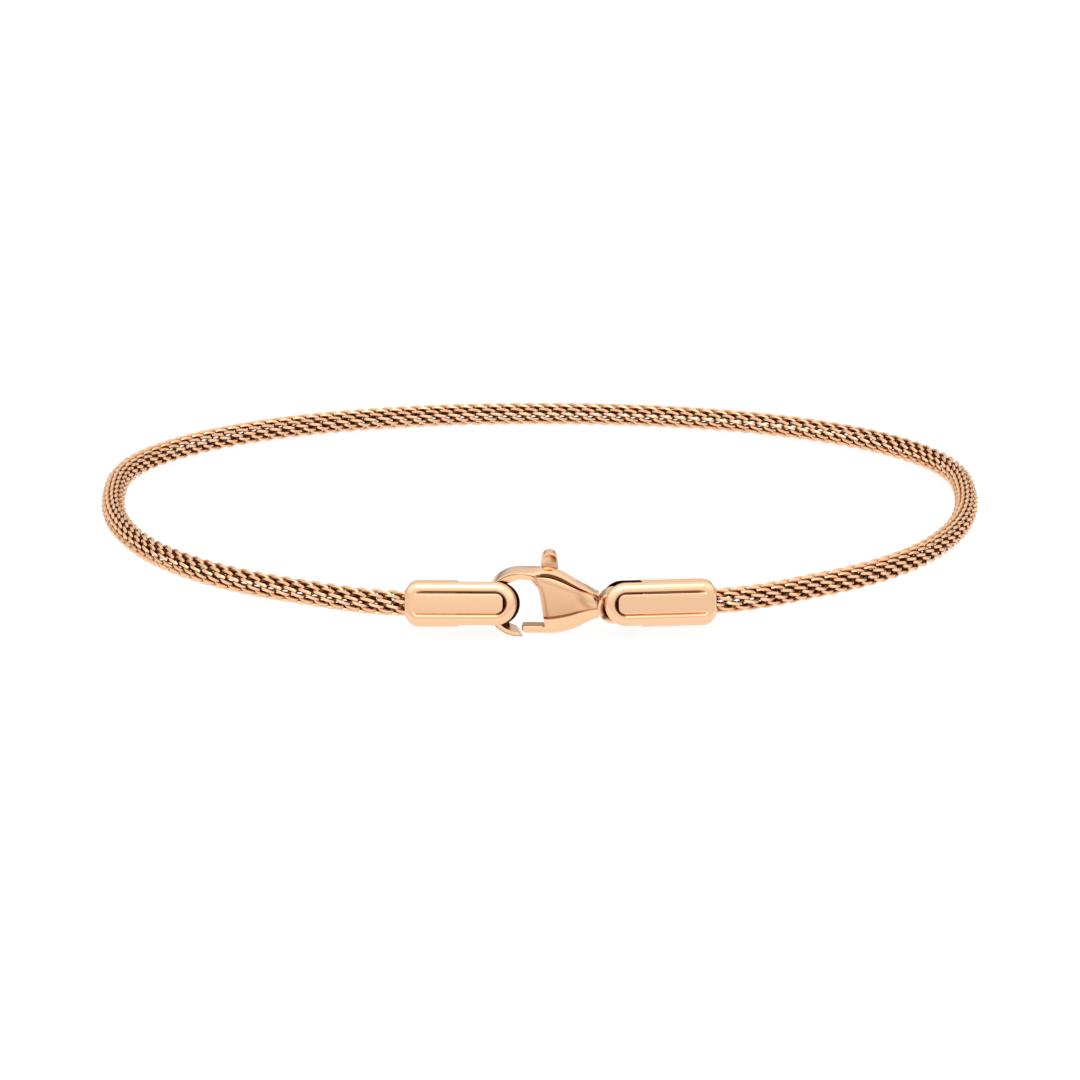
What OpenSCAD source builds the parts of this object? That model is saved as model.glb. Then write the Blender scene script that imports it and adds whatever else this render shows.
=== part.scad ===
// Mesh bracelet: a hollow woven tube bent into an oval loop, an end cap on each end
// of the tube, and a lobster clasp whose hook and tail ring loop round the caps' posts.
// The bracelet lies on its side: +X to the right, +Y to the back, +Z up, clasp in front.

/* [Loop] */
// Width of the loop, between the middles of the tube
loop_width = 62.3; // [56:0.1:72]
// Depth of the loop in front of its widest line
loop_front_depth = 27.2; // [24:0.1:32]
// Depth of the loop behind its widest line
loop_back_depth = 19; // [16:0.1:24]
// Fullness of the front curve, where 2 is an ellipse
front_fullness = 2.3; // [2:0.05:2.6]
// Fullness of the back curve, where 2 is an ellipse
back_fullness = 2.1; // [2:0.05:2.6]

/* [Woven tube] */
// Outer diameter of the woven tube
mesh_d = 1.72; // [1.5:0.01:1.8]
// Diameter of the hollow inside the woven tube
mesh_hollow_d = 0.9; // [0.5:0.05:1]
// Length of tube that is held inside each cap
mesh_grip = 1.5; // [1:0.1:2]
// Gap all round the tube in the cap's mouth
mesh_gap = 0.07; // [0.04:0.01:0.12]

/* [End caps] */
// Length of a cap from its mouth to its rounded end
cap_len = 7.45; // [6.8:0.05:9]
// Height of the cap's solid cup
cup_h = 3.1; // [3:0.05:3.6]
// Length of the left cap's solid cup
cup_len = 3.45; // [3:0.05:3.7]
// Length of the right cap's solid cup
right_cup_len = 4.95; // [4.6:0.05:5.2]
// Height of the two cheeks
cheek_h = 2.88; // [2.6:0.02:3]
// Width of the fork between the cheeks
fork_gap = 2.8; // [2.7:0.05:3.2]
// Radius of the half-round rim on each cheek
rim_r = 0.4; // [0.3:0.02:0.45]
// Height of the inset plate on each cheek
plate_h = 1.48; // [1.3:0.02:1.6]
// Thickness of the inset plate
plate_t = 0.26; // [0.2:0.01:0.3]
// Width of the slit between the plate and the rounded end of the rim
plate_slit = 0.17; // [0.1:0.01:0.3]
// Rounding of the mouth's corners, seen from the front
mouth_r = 0.9; // [0.5:0.05:1.1]
// Rounding of the mouth's corners, seen from above
mouth_side_r = 0.6; // [0.4:0.05:0.8]
// Diameter of the post between the cheeks
post_d = 0.5; // [0.4:0.02:0.54]
// Depth of the post's seat in each cheek
post_seat = 0.12; // [0.08:0.01:0.16]
// How far the left cap leans back
left_roll = 20; // [0:1:21]
// How far the right cap leans back
right_roll = 17; // [0:1:18]
// How far the left cap turns in to follow the loop
left_yaw = 4; // [0:0.5:5]
// How far the left cap's mouth dips
left_dip = 1.3; // [0:0.1:2]
// How far the right cap turns in to follow the loop
right_yaw = 4.5; // [0:0.5:6]

/* [Clasp] */
// Place of the hook's middle, right of the loop's middle
hook_x = -1.33; // [-1.6:0.01:-1]
// Outer radius of the hook
hook_r = 2.25; // [2.1:0.01:2.4]
// Thickness of the hook at its top
hook_t = 0.6; // [0.5:0.01:0.7]
// Thickness of the hook at its tip
tip_t = 0.3; // [0.25:0.01:0.4]
// Depth of the hook, front to back
hook_depth = 1.54; // [1.3:0.01:1.7]
// Depth of the body, front to back
body_depth = 2.3; // [2.1:0.05:2.5]
// Distance from the hook's middle to the waist
waist_x = 5.25; // [5:0.05:5.6]
// Height of the waist
waist_h = 1.6; // [1.4:0.02:1.7]
// Outer radius of the tail ring
tail_r = 1.1; // [1.08:0.01:1.2]
// Radius of the hole in the tail ring
tail_hole_r = 0.6; // [0.55:0.01:0.64]
// Depth of the tail ring, front to back
tail_depth = 1.4; // [1:0.05:1.5]
// Distance from the left post to the hook's middle
left_post_back = 0.6; // [0.4:0.01:0.7]
// Distance from the right post back to the middle of the tail ring
right_post_back = 0.24; // [0.1:0.01:0.26]

/* [Lever] */
// Thickness of the lever, front to back
lever_t = 0.9; // [0.8:0.02:0.96]
// How far the lever lies behind the clasp's middle
lever_back = 0.35; // [0.3:0.01:0.36]
// Gap on each side of the lever in its slot
lever_gap = 0.04; // [0.03:0.01:0.08]
// Distance from the hook's middle to the lever's pivot
pivot_x = 2.3; // [2.25:0.01:2.35]
// Drop of the lever's pivot below the hook's middle
pivot_drop = 0.15; // [0.1:0.01:0.2]
// Radius of the lever's hub
hub_r = 0.55; // [0.5:0.01:0.6]
// Height of the gate bar
gate_h = 0.48; // [0.4:0.01:0.6]
// Distance from the hook's middle to the thumb nub
nub_x = 1.97; // [1.93:0.01:2.05]
// Width of the thumb nub
nub_w = 1.1; // [0.9:0.02:1.3]
// Height of the nub's top above the hook's middle
nub_top = 3.45; // [3.3:0.05:3.8]
// Depth of the scoop in the nub's front
nub_scoop = 0.16; // [0.05:0.01:0.25]
// Diameter of the lever's pin
pivot_d = 0.56; // [0.4:0.02:0.6]
// Running gap round the lever's pin
pivot_gap = 0.03; // [0.02:0.01:0.06]
// Depth of the pin's seat in each wall of the body
pivot_seat = 0.2; // [0.12:0.01:0.22]
// How far the lever turns when it is open
lever_open = 25; // [20:1:26]

/* [Hidden] */
$fn = 48;
rose = [0.90, 0.66, 0.52];
deep_rose = [0.80, 0.54, 0.42];
eps = 0.05;
// Gap all round a post or pin in its blind seats
seat_gap = 0.02;

// The clasp's own frame has its origin at the hook's middle, and the hook rests on the floor
hook_z = hook_r;
// The caps hang a little below the hook's middle
run_z = hook_z - 0.165;
// The front run of caps and clasp lies just outside the loop's own curve
loop_centre_y = 4;
run_y = loop_centre_y - loop_front_depth - 0.1;
half_w = loop_width / 2;
mesh_r = mesh_d / 2;
back_y = loop_centre_y + loop_back_depth;

// Places of the posts and of the caps' mouths along the front run
post_u = cap_len - rim_r - 0.1;
left_post_x = hook_x - left_post_back;
tail_x = waist_x + tail_r - 0.1;
right_post_x = hook_x + tail_x - right_post_back;
left_mouth = [left_post_x - post_u * cos(left_yaw), run_y + post_u * sin(left_yaw),
              run_z - post_u * sin(left_dip)];
right_mouth = [right_post_x + post_u * cos(right_yaw), run_y + post_u * sin(right_yaw), run_z];

// Moves the whole so that its box is centred on the origin: the left cap's lower rim is
// the foremost line of the bracelet
rim_mid = cheek_h / 2 - rim_r;
bend_x = cap_len - cheek_h / 2;
box_front = run_y + (post_u - bend_x) * sin(left_yaw) - fork_gap / 2 * cos(left_roll) - rim_r
    - rim_mid * sqrt(pow(sin(left_roll), 2) + pow(sin(left_yaw), 2));
shift_y = -(box_front + back_y + mesh_r) / 2;

// Height of the tube's middle, which rests on the floor at the back and rises to the front
front_rise = 1.1;
function tube_z(y) = mesh_r + front_rise * (back_y - y) / (back_y - run_y);

// Radius of the loop's plan at an angle: one superellipse in front, another behind
function plan_r(a) =
    let(n = sin(a) < 0 ? front_fullness : back_fullness,
        d = sin(a) < 0 ? loop_front_depth : loop_back_depth)
    pow(pow(abs(cos(a)) / half_w, n) + pow(abs(sin(a)) / d, n), -1 / n);
function plan_point(a) =
    let(y = loop_centre_y + plan_r(a) * sin(a))
    [plan_r(a) * cos(a), y, tube_z(y)];
function unit(v) = v / norm(v);
function plan_tangent(a) = unit(plan_point(a + 0.5) - plan_point(a - 0.5));

// A cubic from one point and direction to another
function ease(p0, d0, p1, d1, t) =
    let(k = norm(p1 - p0) / 3, q0 = p0 + k * d0, q1 = p1 - k * d1)
    pow(1 - t, 3) * p0 + 3 * t * pow(1 - t, 2) * q0 + 3 * t * t * (1 - t) * q1 + pow(t, 3) * p1;

// The tube leaves each cap straight, then eases into the plan curve at these angles
right_join = -50;
left_join = 235;
ease_steps = 10;
plan_step = 5;
right_in = [-cos(right_yaw), -sin(right_yaw), 0];
left_in = [cos(left_yaw) * cos(left_dip), -sin(left_yaw) * cos(left_dip), sin(left_dip)];
route = concat(
    [right_mouth + mesh_grip * right_in],
    [for (i = [0 : ease_steps])
        ease(right_mouth, -right_in, plan_point(right_join), plan_tangent(right_join), i / ease_steps)],
    [for (a = [right_join + plan_step : plan_step : left_join - plan_step]) plan_point(a)],
    [for (i = [0 : ease_steps])
        ease(plan_point(left_join), plan_tangent(left_join), left_mouth, left_in, i / ease_steps)],
    [left_mouth + mesh_grip * left_in]);

// A ring of points round the route at one of its stations
tube_sides = 16;
function route_normal(i) =
    let(a = route[max(i - 1, 0)], b = route[min(i + 1, len(route) - 1)])
    unit([b[1] - a[1], a[0] - b[0], 0]);
function ring_at(i, r) =
    let(n = route_normal(i), c = route[i])
    [for (k = [0 : tube_sides - 1])
        let(a = 360 * k / tube_sides)
        c + [r * cos(a) * n[0], r * cos(a) * n[1], r * sin(a)]];

// Outer and inner wall of the woven tube, joined by a flat ring at each end
module mesh_tube() {
    n = len(route);
    s = tube_sides;
    function at(wall, i, k) = (wall * n + i) * s + k % s;
    points = [for (wall = [0, 1]) for (i = [0 : n - 1])
        each ring_at(i, wall == 0 ? mesh_r : mesh_hollow_d / 2)];
    sides = [for (i = [0 : n - 2]) for (k = [0 : s - 1])
        each [[at(0, i, k + 1), at(0, i + 1, k + 1), at(0, i + 1, k), at(0, i, k)],
              [at(1, i, k), at(1, i + 1, k), at(1, i + 1, k + 1), at(1, i, k + 1)]]];
    ends = [for (k = [0 : s - 1])
        each [[at(0, 0, k), at(1, 0, k), at(1, 0, k + 1), at(0, 0, k + 1)],
              [at(0, n - 1, k + 1), at(1, n - 1, k + 1), at(1, n - 1, k), at(0, n - 1, k)]]];
    color(deep_rose) translate([0, shift_y, 0])
        polyhedron(points = points, faces = concat(sides, ends), convexity = 8);
}

// Outline of a cap seen from the front, with its mouth's corners rounded
module front_outline(h, x_end) {
    translate([mouth_r, -h / 2]) square([x_end - mouth_r, h]);
    translate([0, mouth_r - h / 2]) square([mouth_r + eps, h - 2 * mouth_r]);
    for (side = [-1, 1]) translate([mouth_r, side * (h / 2 - mouth_r)]) circle(r = mouth_r);
}

// Outline of a cap seen from above, with its mouth's corners rounded
module top_outline(w, x_end) {
    translate([mouth_side_r, -w / 2]) square([x_end - mouth_side_r, w]);
    translate([0, mouth_side_r - w / 2]) square([mouth_side_r + eps, w - 2 * mouth_side_r]);
    for (side = [-1, 1])
        translate([mouth_side_r, side * (w / 2 - mouth_side_r)]) circle(r = mouth_side_r);
}

// Lays a front outline on the XZ plane, as thick as w
module front_slab(w) {
    rotate([90, 0, 0]) translate([0, 0, -w / 2]) linear_extrude(w) children();
}

// The solid cup that holds the tube, as long as given
module cup(long) {
    cup_w = fork_gap + 1.23 * plate_t;
    cup_round = mouth_side_r;
    intersection() {
        front_slab(cup_w) front_outline(cup_h, long);
        translate([0, 0, -cup_h]) linear_extrude(2 * cup_h) top_outline(cup_w, long);
        rotate([90, 0, 90]) linear_extrude(long) {
            square([cup_w, cup_h - 2 * cup_round], center = true);
            square([cup_w - 2 * cup_round, cup_h], center = true);
            for (sy = [-1, 1], sz = [-1, 1])
                translate([sy * (cup_w / 2 - cup_round), sz * (cup_h / 2 - cup_round)])
                    circle(r = cup_round);
        }
    }
}

// One cheek: a half-round rim like a long U round an inset plate with a slit at its end
module cheek() {
    for (side = [-1, 1])
        translate([0, 0, side * rim_mid]) rotate([0, 90, 0]) cylinder(r = rim_r, h = bend_x);
    translate([bend_x, 0, 0]) rotate([90, 0, 0]) rotate([0, 0, -90])
        rotate_extrude(angle = 180) translate([rim_mid, 0]) circle(r = rim_r);
    plate_end = cap_len - 2 * rim_r - plate_slit;
    plate_round = rim_r;
    rotate([90, 0, 0]) linear_extrude(plate_t) {
        translate([0, -plate_h / 2]) square([plate_end - plate_round, plate_h]);
        translate([plate_end - plate_round - eps, plate_round - plate_h / 2])
            square([plate_round + eps, plate_h - 2 * plate_round]);
        for (side = [-1, 1])
            translate([plate_end - plate_round, side * (plate_h / 2 - plate_round)])
                circle(r = plate_round);
    }
}

// A whole cap in its own frame: mouth at the origin, rounded end along +X, its cup as long as
// given
module cap(cup_long) {
    cap_w = fork_gap + 2 * rim_r;
    difference() {
        union() {
            cup(cup_long);
            intersection() {
                union() {
                    translate([0, -fork_gap / 2, 0]) cheek();
                    mirror([0, 1, 0]) translate([0, -fork_gap / 2, 0]) cheek();
                }
                front_slab(cap_w + 1) front_outline(cheek_h + eps, cap_len + eps);
                translate([0, 0, -cup_h]) linear_extrude(2 * cup_h) top_outline(cap_w, cap_len + eps);
            }
        }
        // The fork, open at the top, bottom and end
        translate([cup_long, -fork_gap / 2, -cup_h]) cube([cap_len, fork_gap, 2 * cup_h]);
        // The mouth's bore for the woven tube
        translate([-eps, 0, 0]) rotate([0, 90, 0])
            cylinder(r = mesh_r + mesh_gap, h = mesh_grip + 0.2 + eps);
        // Blind seats for the post
        translate([post_u, 0, 0]) rotate([90, 0, 0])
            cylinder(d = post_d + 2 * seat_gap, h = fork_gap + 2 * post_seat, center = true);
    }
}

module place_left_cap() {
    translate(left_mouth + [0, shift_y, 0])
        rotate([0, 0, -left_yaw]) rotate([0, -left_dip, 0]) rotate([-left_roll, 0, 0]) children();
}

module place_right_cap() {
    translate(right_mouth + [0, shift_y, 0])
        rotate([0, 0, right_yaw]) rotate([-right_roll, 0, 0]) mirror([1, 0, 0]) children();
}

module left_end_cap() {
    color(rose) place_left_cap() cap(cup_len);
}

module right_end_cap() {
    color(rose) place_right_cap() cap(right_cup_len);
}

// A plain post across the fork, seated in both cheeks
module post() {
    translate([post_u, 0, 0]) rotate([90, 0, 0])
        cylinder(d = post_d, h = fork_gap + 2 * (post_seat - seat_gap), center = true);
}

module left_cap_post() {
    color(deep_rose) place_left_cap() post();
}

module right_cap_post() {
    color(deep_rose) place_right_cap() post();
}

// The clasp's frame: the hook's middle is the origin
module place_clasp() {
    translate([hook_x, run_y + shift_y, hook_z]) children();
}

// Stations of the body: its place as a share of the way from the hook's middle to the
// waist, then heights as shares of the hook's radius (peak, ridge, face's top, crease,
// bottom), then half depths as shares of the body's (ridge, face's top, crease)
STATIONS = [
    [0.000, 0.985, 0.960, 0.880, -0.330, -0.900, 0.64, 0.66, 0.66],
    [0.100, 1.020, 0.980, 0.880, -0.330, -0.905, 0.66, 0.67, 0.67],
    [0.177, 1.045, 0.980, 0.880, -0.330, -0.910, 0.67, 0.67, 0.67],
    [0.250, 1.058, 0.975, 0.875, -0.330, -0.915, 0.66, 0.67, 0.68],
    [0.320, 1.055, 0.975, 0.865, -0.325, -0.920, 0.63, 0.80, 0.97],
    [0.381, 1.035, 0.955, 0.847, -0.316, -0.920, 0.63, 0.83, 1.00],
    [0.507, 0.955, 0.853, 0.736, -0.271, -0.885, 0.61, 0.83, 1.00],
    [0.634, 0.797, 0.691, 0.582, -0.227, -0.820, 0.59, 0.77, 0.91],
    [0.760, 0.600, 0.523, 0.433, -0.156, -0.710, 0.54, 0.68, 0.78],
    [0.888, 0.420, 0.395, 0.360, -0.120, -0.547, 0.48, 0.54, 0.65]];

waist_mid = -0.115 * hook_r;
function waist_row() =
    let(t = (waist_mid + waist_h / 2) / hook_r, b = (waist_mid - waist_h / 2) / hook_r)
    [1, t, t - 0.04, t - 0.08, (t + b) / 2, b, 0.30, 0.46, 0.54];

// One section of the body: peak, ridge, face, crease and lower bevel, front and back
function body_section(row) =
    let(x = row[0] * waist_x, z = [for (i = [1 : 5]) row[i] * hook_r],
        d = [for (i = [6 : 8]) row[i] * body_depth / 2],
        front = [[-0.052 * body_depth, z[0]], [-d[0], z[1]], [-d[1], z[2]],
                 [-(d[1] + d[2]) / 2 - 0.009 * body_depth, (z[2] + z[3]) / 2], [-d[2], z[3]],
                 [-0.80 * d[2], (z[3] + z[4]) / 2], [-0.45 * d[2], z[4]]])
    concat([for (p = front) [x, p[0], p[1]]],
           [for (i = [len(front) - 1 : -1 : 0]) [x, -front[i][0], front[i][1]]]);

module body_loft() {
    rows = concat(STATIONS, [waist_row()]);
    n = len(rows);
    s = len(body_section(rows[0]));
    points = [for (row = rows) each body_section(row)];
    walls = [for (i = [0 : n - 2]) for (k = [0 : s - 1])
        let(a = i * s + k, b = i * s + (k + 1) % s, c = (i + 1) * s + (k + 1) % s, d = (i + 1) * s + k)
        each [[a, c, b], [a, d, c]]];
    last = (n - 1) * s;
    ends = [for (k = [0 : s / 2 - 2])
        each [[k, k + 1, s - 2 - k, s - 1 - k],
              [last + k + 1, last + k, last + s - 1 - k, last + s - 2 - k]]];
    polyhedron(points = points, faces = concat(walls, ends), convexity = 6);
}

// The hook before its opening is cut: a disc with a slightly domed rim
module hook_disc() {
    crown = 0.027 * hook_r;
    rotate([90, 0, 0]) rotate_extrude($fn = 96)
        polygon([[0, -hook_depth / 2], [hook_r - crown, -hook_depth / 2],
                 [hook_r, -hook_depth / 6], [hook_r, hook_depth / 6],
                 [hook_r - crown, hook_depth / 2], [0, hook_depth / 2]]);
}

// Inner circle of the hook, set off so that the wall thins towards the tip
inner_r = hook_r - (hook_t + tip_t) / 2;
inner_drop = (hook_t - tip_t) / 2;

// The hook's opening: its inner circle, run on to the body's curved left edge
module opening_outline() {
    edge_r = 3.555 * hook_r;
    edge_x = 0.333 * waist_x;
    edge_z = -0.87 * hook_r;
    intersection() {
        translate([edge_x - edge_r, edge_z]) circle(r = edge_r, $fn = 160);
        union() {
            translate([0.013 * hook_r, -inner_drop]) circle(r = inner_r);
            translate([0.133 * hook_r, -hook_r]) square([0.89 * hook_r, 1.7 * hook_r]);
        }
    }
    // The way in past the tip, cut on a slant
    way_top = -0.667 * hook_r;
    way_low = -1.067 * hook_r;
    polygon([[-0.222 * hook_r, way_top], [0.138 * hook_r, way_low], [edge_x, way_low],
             [edge_x, way_top]]);
}

// Pivot of the lever in the clasp's frame
pivot = [pivot_x, -pivot_drop];
slot_w = lever_t + 2 * lever_gap;

// The slot through the body that the lever swings in. At the top it clears the nub, shut on
// the left and swung open on the right; lower down it runs out into the hook's opening
module slot_outline() {
    top = 1.444 * hook_r;
    nub_left = nub_x - nub_w / 2;
    nub_right = nub_x + nub_w / 2 + (top + pivot_drop) * sin(lever_open);
    polygon([[nub_left - 0.062 * hook_r, top], [nub_left - 0.027 * hook_r, 0.51 * hook_r],
             [0.4 * hook_r, 0.4 * hook_r], [0.178 * hook_r, -0.444 * hook_r], [0, -top],
             [pivot_x + 0.76 * hub_r, -top], [pivot_x + 0.76 * hub_r, -0.533 * hook_r],
             [pivot_x + 1.49 * hub_r, -0.267 * hook_r], [pivot_x + 2.58 * hub_r, 0.49 * hook_r],
             [nub_right, top]]);
}

module clasp_body() {
    color(rose) place_clasp() difference() {
        union() {
            difference() {
                union() {
                    hook_disc();
                    body_loft();
                }
                front_slab(body_depth + 1) opening_outline();
            }
            // The tail ring with its root in the waist
            front_slab(tail_depth) difference() {
                union() {
                    translate([tail_x, waist_mid]) circle(r = tail_r);
                    translate([waist_x - 0.32 * tail_r, waist_mid - waist_h * 0.32])
                        square([0.55 * tail_r, waist_h * 0.64]);
                }
                translate([tail_x, waist_mid]) circle(r = tail_hole_r);
            }
        }
        translate([0, lever_back, 0]) front_slab(slot_w) slot_outline();
        // Blind seats for the lever's pin
        translate([pivot[0], lever_back, pivot[1]]) rotate([90, 0, 0])
            cylinder(d = pivot_d + 2 * seat_gap, h = slot_w + 2 * pivot_seat, center = true);
    }
}

// Gate, hub, riser and nub of the lever, seen from the front
module lever_outline() {
    gate_x = 0.071 * hook_r;
    gate_low = -0.99 * hook_r;
    gate_high = gate_low + gate_h;
    nub_r = nub_w / 2;
    riser_z = 0.667 * hook_r;
    translate(pivot) circle(r = hub_r);
    polygon([[gate_x, gate_high - 0.25 * gate_h], [gate_x, gate_low + 0.52 * gate_h],
             [gate_x + 0.46 * gate_h, gate_low], [pivot_x - 0.09 * hook_r, gate_low],
             pivot + hub_r * [0.9, -0.27], pivot + hub_r * [-0.18, 0.64],
             pivot + hub_r * [-0.91, 0], [pivot_x - 0.302 * hook_r, gate_high],
             [gate_x + 0.25 * gate_h, gate_high]]);
    polygon([[nub_x - nub_r, nub_top - nub_r], [nub_x - nub_r, riser_z],
             pivot + hub_r * [-0.945, 0.09], pivot + hub_r * [0.18, -0.64],
             pivot + hub_r * [0.945, 0.27], [nub_x + nub_r, riser_z],
             [nub_x + nub_r, nub_top - nub_r]]);
    translate([nub_x, nub_top - nub_r]) circle(r = nub_r);
}

module lever() {
    scoop_r = 1.455 * nub_w;
    color(rose) place_clasp() translate([0, lever_back, 0]) difference() {
        front_slab(lever_t) lever_outline();
        translate([pivot[0], 0, pivot[1]]) rotate([90, 0, 0])
            cylinder(d = pivot_d + 2 * pivot_gap, h = 2 * lever_t, center = true);
        // The thumb's scoop in the front of the nub
        translate([nub_x - 0.045 * nub_w, -lever_t / 2 - scoop_r + nub_scoop, nub_top - 0.655 * nub_w])
            sphere(r = scoop_r);
    }
}

module lever_pin() {
    color(deep_rose) place_clasp() translate([pivot[0], lever_back, pivot[1]]) rotate([90, 0, 0])
        cylinder(d = pivot_d, h = slot_w + 2 * (pivot_seat - seat_gap), center = true);
}

mesh_tube();
left_end_cap();
right_end_cap();
left_cap_post();
right_cap_post();
clasp_body();
lever();
lever_pin();
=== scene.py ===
"""Mesh bracelet: a woven tube of rose gold wire, two end caps and a lobster clasp."""

import bmesh
import bpy
import numpy as np
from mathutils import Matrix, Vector


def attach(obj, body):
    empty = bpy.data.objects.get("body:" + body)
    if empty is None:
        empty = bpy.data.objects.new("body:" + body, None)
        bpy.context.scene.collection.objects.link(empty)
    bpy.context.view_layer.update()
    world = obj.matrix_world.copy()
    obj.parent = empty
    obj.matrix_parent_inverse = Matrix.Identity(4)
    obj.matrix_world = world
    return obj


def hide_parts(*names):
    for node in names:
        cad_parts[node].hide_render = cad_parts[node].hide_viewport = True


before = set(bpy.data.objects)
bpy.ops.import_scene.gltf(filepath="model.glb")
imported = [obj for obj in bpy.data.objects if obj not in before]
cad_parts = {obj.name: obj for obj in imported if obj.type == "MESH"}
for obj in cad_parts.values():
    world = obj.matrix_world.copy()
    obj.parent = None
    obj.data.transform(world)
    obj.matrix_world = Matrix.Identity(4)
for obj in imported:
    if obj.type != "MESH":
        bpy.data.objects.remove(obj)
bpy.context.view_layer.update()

MM = 0.001

# Sizes of the real object in millimetres, as in the part's source
loop_width, loop_front_depth, loop_back_depth = 62.3, 27.2, 19.0
front_fullness, back_fullness = 2.3, 2.1
mesh_d, mesh_gap, mesh_grip = 1.72, 0.07, 1.5
cap_len, cheek_h, fork_gap = 7.45, 2.88, 2.8
cup_h, cup_len, right_cup_len = 3.1, 3.45, 4.95
rim_r, plate_h, plate_t, plate_slit = 0.4, 1.48, 0.26, 0.17
mouth_r, mouth_side_r = 0.9, 0.6
left_roll, left_yaw, left_dip = np.radians([20, 4, 1.3])
right_roll, right_yaw = np.radians([17, 4.5])
hook_x, hook_r, hook_depth, body_depth = -1.33, 2.25, 1.54, 2.3
waist_x, waist_h, tail_r, tail_hole_r, tail_depth = 5.25, 1.6, 1.1, 0.6, 1.4
left_post_back, right_post_back = 0.6, 0.24
lever_t, lever_back, lever_gap, gate_h = 0.9, 0.35, 0.04, 0.48
nub_x, nub_w, nub_top = 1.97, 1.1, 3.45

# Finer sizes that only this scene has
bore_spare, cup_proud = 0.2, 0.23
hook_hole_r, tip_slant, ridge_t = 1.8, 0.24, 0.13
neck_x, neck_length, swell_length = 3.6, 1.0, 0.28
hollow_edge, hollow_depth = 0.06, 0.14

# Places that follow from them
hook_z = hook_r
run_z = hook_z - 0.165
loop_centre_y = 4
run_y = loop_centre_y - loop_front_depth - 0.1
half_w, mesh_r = loop_width / 2, mesh_d / 2
back_y = loop_centre_y + loop_back_depth
front_rise = 1.1
post_u = cap_len - rim_r - 0.1
left_post_x = hook_x - left_post_back
tail_x = waist_x + tail_r - 0.1
right_post_x = hook_x + tail_x - right_post_back
left_mouth = np.array([left_post_x - post_u * np.cos(left_yaw),
                       run_y + post_u * np.sin(left_yaw), run_z - post_u * np.sin(left_dip)])
right_mouth = np.array([right_post_x + post_u * np.cos(right_yaw),
                        run_y + post_u * np.sin(right_yaw), run_z])
rim_mid = cheek_h / 2 - rim_r
bend_x = cap_len - cheek_h / 2
box_front = (run_y + (post_u - bend_x) * np.sin(left_yaw) - fork_gap / 2 * np.cos(left_roll)
             - rim_r - rim_mid * np.hypot(np.sin(left_roll), np.sin(left_yaw)))
shift_y = -(box_front + back_y + mesh_r) / 2
waist_mid = -0.115 * hook_r
plate_end = cap_len - 2 * rim_r - plate_slit + 0.09
slot_front = lever_back - lever_t / 2 - lever_gap
slot_rear = lever_back + lever_t / 2 + lever_gap


def unit(v):
    """Vectors divided by their lengths, along the last axis."""
    return v / np.linalg.norm(v, axis=-1, keepdims=True)


def smooth_step(t):
    """Shares from 0 to 1 eased at both ends: three times the square less twice the cube."""
    return t * t * (3 - 2 * t)


def plan_point(a):
    """Middle of the tube at an angle round the loop: a superellipse in plan, one half fuller
    than the other, rising evenly from the back to the front."""
    front = np.sin(a) < 0
    n = np.where(front, front_fullness, back_fullness)
    d = np.where(front, loop_front_depth, loop_back_depth)
    r = ((np.abs(np.cos(a)) / half_w) ** n + (np.abs(np.sin(a)) / d) ** n) ** (-1 / n)
    y = loop_centre_y + r * np.sin(a)
    z = mesh_r + front_rise * (back_y - y) / (back_y - run_y)
    return np.stack([r * np.cos(a), y, z], -1)


def plan_tangent(a):
    """Direction of the loop at an angle, from two points half a degree to each side."""
    half = np.radians(0.5)
    return unit(plan_point(a + half) - plan_point(a - half))


def ease(p0, d0, p1, d1, t):
    """Cubic from one point and direction to another, its handles a third of the distance."""
    k = np.linalg.norm(p1 - p0) / 3
    q0, q1, t = p0 + k * d0, p1 - k * d1, t[:, None]
    return ((1 - t) ** 3 * p0 + 3 * t * (1 - t) ** 2 * q0
            + 3 * t * t * (1 - t) * q1 + t ** 3 * p1)


def tube_route():
    """Middle of the woven tube: straight inside the right cap, eased into the plan curve, round
    the back, eased again and straight inside the left cap."""
    right_join, left_join = np.radians([-50, 235])
    right_out = np.array([np.cos(right_yaw), np.sin(right_yaw), 0])
    left_in = np.array([np.cos(left_yaw) * np.cos(left_dip),
                        -np.sin(left_yaw) * np.cos(left_dip), np.sin(left_dip)])
    t = np.linspace(0, 1, 80)
    return np.concatenate([
        [right_mouth - mesh_grip * right_out],
        ease(right_mouth, right_out, plan_point(right_join), plan_tangent(right_join), t),
        plan_point(np.linspace(right_join, left_join, 900)[1:-1]),
        ease(plan_point(left_join), plan_tangent(left_join), left_mouth, left_in, t),
        [left_mouth + mesh_grip * left_in]]) + [0, shift_y, 0]


def along(path, s):
    """Point, outward level direction and upward direction of a path at lengths s."""
    step = np.linalg.norm(np.diff(path, axis=0), axis=1)
    length = np.concatenate([[0], np.cumsum(step)])

    def at(q):
        return np.stack([np.interp(q, length, path[:, i]) for i in range(3)], -1)

    tangent = unit(at(s + 0.3) - at(s - 0.3))
    outward = unit(np.cross(tangent, [0, 0, 1]))
    return at(s), outward, np.cross(outward, tangent)


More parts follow.
